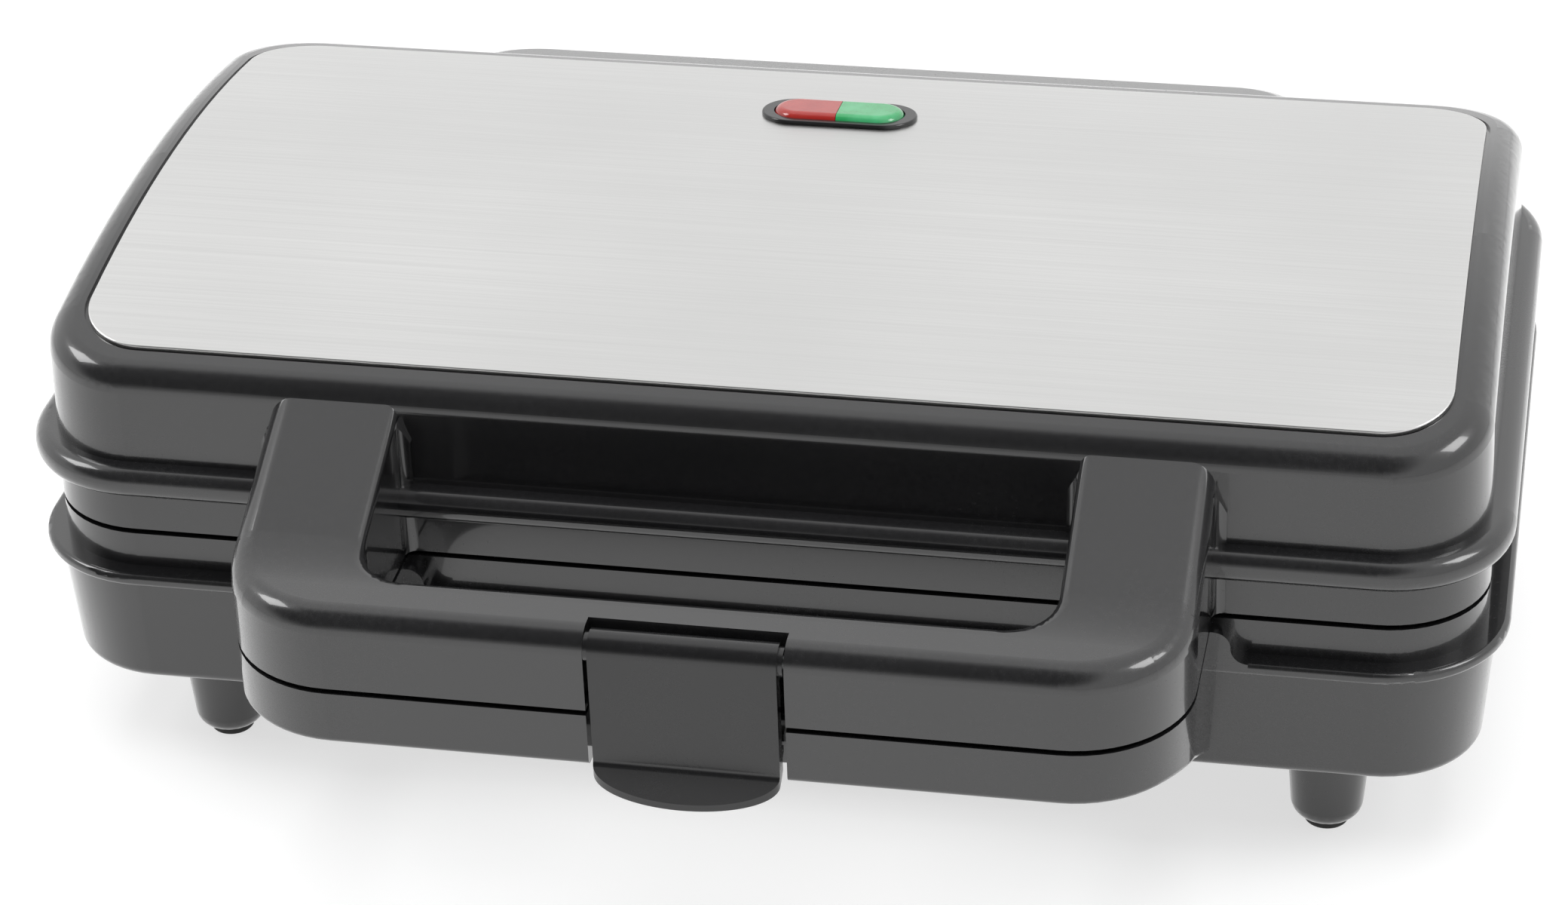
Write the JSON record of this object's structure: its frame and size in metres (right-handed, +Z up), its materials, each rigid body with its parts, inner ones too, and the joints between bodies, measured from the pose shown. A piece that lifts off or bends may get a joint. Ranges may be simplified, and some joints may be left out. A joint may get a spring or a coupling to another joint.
{
  "type": "donut maker",
  "caption": "Hinged countertop donut maker: a moulded casing with a steel-topped lid, latched U-shaped handle and heated ring-mould plates.",
  "frame": {"origin": "on the table under the middle of the whole object's box, latch tab to hinge hump", "axes": "+X across the casing to the right as seen from the handle, +Y from the handle to the hinge, +Z up"},
  "size_m": [0.2584, 0.204, 0.0903],
  "materials": {
    "casing_plastic": "smooth moulded, satin gloss",
    "latch_plastic": "smooth moulded, satin gloss",
    "brushed_panel": "brushed along its length",
    "bezel_plastic": "moulded gloss",
    "red_lens": "translucent moulded",
    "green_lens": "translucent moulded",
    "lamp_glass": "clear",
    "board_laminate": "laminate",
    "nonstick_casting": "die cast with a dark non-stick coat",
    "heater_sheath": "heat-tinted steel tube",
    "shield_steel": "pressed sheet",
    "zinc_fasteners": "zinc plated steel",
    "control_phenolic": "moulded phenolic",
    "fuse_case": "drawn case",
    "wire_sleeve": "silicone sleeve",
    "black_rubber": "moulded rubber",
    "inlet_nylon": "moulded nylon",
    "terminal_nylon": "moulded nylon",
    "terminal_brass": "plain"
  },
  "bodies": {
    "base": {"base_shell": "casing_plastic", "lower_plate": "nonstick_casting", "lower_heater": "heater_sheath", "lower_heat_shield": "shield_steel", "lower_heater_clips": "shield_steel", "lower_clip_rivets": "zinc_fasteners", "lower_plate_screws": "zinc_fasteners", "cord_clamp_screws": "zinc_fasteners", "earth_screw": "zinc_fasteners", "hinge_pins": "zinc_fasteners", "base_wires": "wire_sleeve", "foot_pads": "black_rubber", "cord_inlet": "inlet_nylon", "cord_clamp": "inlet_nylon", "terminal_block": "terminal_nylon", "terminal_screws": "terminal_brass", "earth_tag": "terminal_brass"},
    "lid": {"lid_shell": "casing_plastic", "top_panel": "brushed_panel", "indicator_bezel": "bezel_plastic", "power_lens": "red_lens", "ready_lens": "green_lens", "indicator_lamps": "lamp_glass", "lamp_board": "board_laminate", "lamp_board_screws": "zinc_fasteners", "upper_plate": "nonstick_casting", "upper_heater": "heater_sheath", "upper_heater_clips": "shield_steel", "upper_clip_rivets": "zinc_fasteners", "upper_heat_shield": "shield_steel", "upper_plate_screws": "zinc_fasteners", "thermostat": "control_phenolic", "thermostat_screws": "zinc_fasteners", "thermal_fuse": "fuse_case", "fuse_clip": "shield_steel", "fuse_rivets": "zinc_fasteners", "lid_wires": "wire_sleeve", "harness_grommet": "black_rubber", "latch_pin": "zinc_fasteners"},
    "latch": {"latch_clip": "latch_plastic"}
  },
  "joints": [
    {"name": "lid_hinge", "type": "hinge", "parent": "base", "child": "lid", "pos_m": [0, 0.09127, 0.051], "axis": [-1, 0, 0], "range_deg": [0, 100]},
    {"name": "latch_hinge", "type": "hinge", "parent": "lid", "child": "latch", "pos_m": [0, -0.09342, 0.0627], "axis": [-1, 0, 0], "range_deg": [0, 40]}
  ]
}
